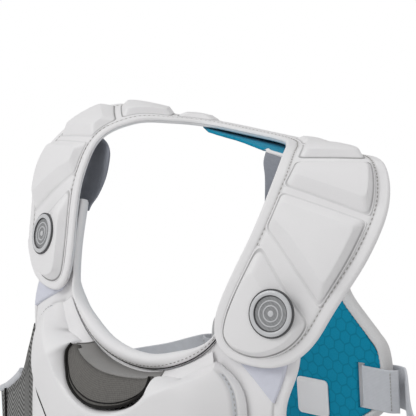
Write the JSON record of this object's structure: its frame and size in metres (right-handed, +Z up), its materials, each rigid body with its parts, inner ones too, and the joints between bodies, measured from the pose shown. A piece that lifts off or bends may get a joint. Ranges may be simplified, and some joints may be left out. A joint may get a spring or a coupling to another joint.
{
  "type": "lacrosse goalie chest pad",
  "caption": "Lacrosse goalie chest pad: bevelled blocks on a padded shoulder yoke, a thick chest front with a rolled collar and pocket, and a short back panel held by side straps.",
  "frame": {"origin": "midway between the shoulders, at the height where the yoke rests on them", "axes": "+Z up, -Y out of the chest, +X to the wearer's left"},
  "size_m": [0.4616, 0.2591, 0.4346],
  "materials": {
    "white_vinyl": "soft white synthetic leather over foam",
    "badge_plastic": "moulded rings, dark grey with a paler rim",
    "teal_lining": "soft knit with a tone on tone hexagon weave",
    "grey_webbing": "flat woven webbing",
    "pale_elastic": "ribbed elastic",
    "loop_fabric": "fine brushed loop pile",
    "pocket_weave": "dark woven cloth",
    "satin_band": "smooth satin",
    "black_piping": "corded piping",
    "herringbone": "grey herringbone twill",
    "back_shell": "plain white cover cloth",
    "binding": "folded tape"
  },
  "bodies": {
    "root": {"yoke_base": "white_vinyl", "chest_body": "white_vinyl", "chest_shield": "white_vinyl", "collar_roll": "white_vinyl", "yoke_block_back_left": "white_vinyl", "yoke_block_nape_left": "white_vinyl", "yoke_block_shoulder_left": "white_vinyl", "yoke_block_mid_left": "white_vinyl", "yoke_block_front_left": "white_vinyl", "yoke_block_back_right": "white_vinyl", "yoke_block_nape_right": "white_vinyl", "yoke_block_shoulder_right": "white_vinyl", "yoke_block_mid_right": "white_vinyl", "yoke_block_front_right": "white_vinyl", "badge_left": "badge_plastic", "badge_right": "badge_plastic", "yoke_lining": "teal_lining", "back_lining": "teal_lining", "inner_strap_left": "grey_webbing", "inner_strap_right": "grey_webbing", "side_strap_left": "pale_elastic", "side_strap_right": "pale_elastic", "shield_strip_left": "pale_elastic", "shield_strip_right": "pale_elastic", "loop_patch_left": "loop_fabric", "loop_patch_right": "loop_fabric", "pocket_panel": "pocket_weave", "pocket_band": "satin_band", "pocket_piping": "black_piping", "wing_piping_left": "black_piping", "wing_piping_right": "black_piping", "side_wing_left": "herringbone", "side_wing_right": "herringbone", "back_panel": "back_shell", "back_binding": "binding", "back_patch": "binding"}
  },
  "joints": []
}
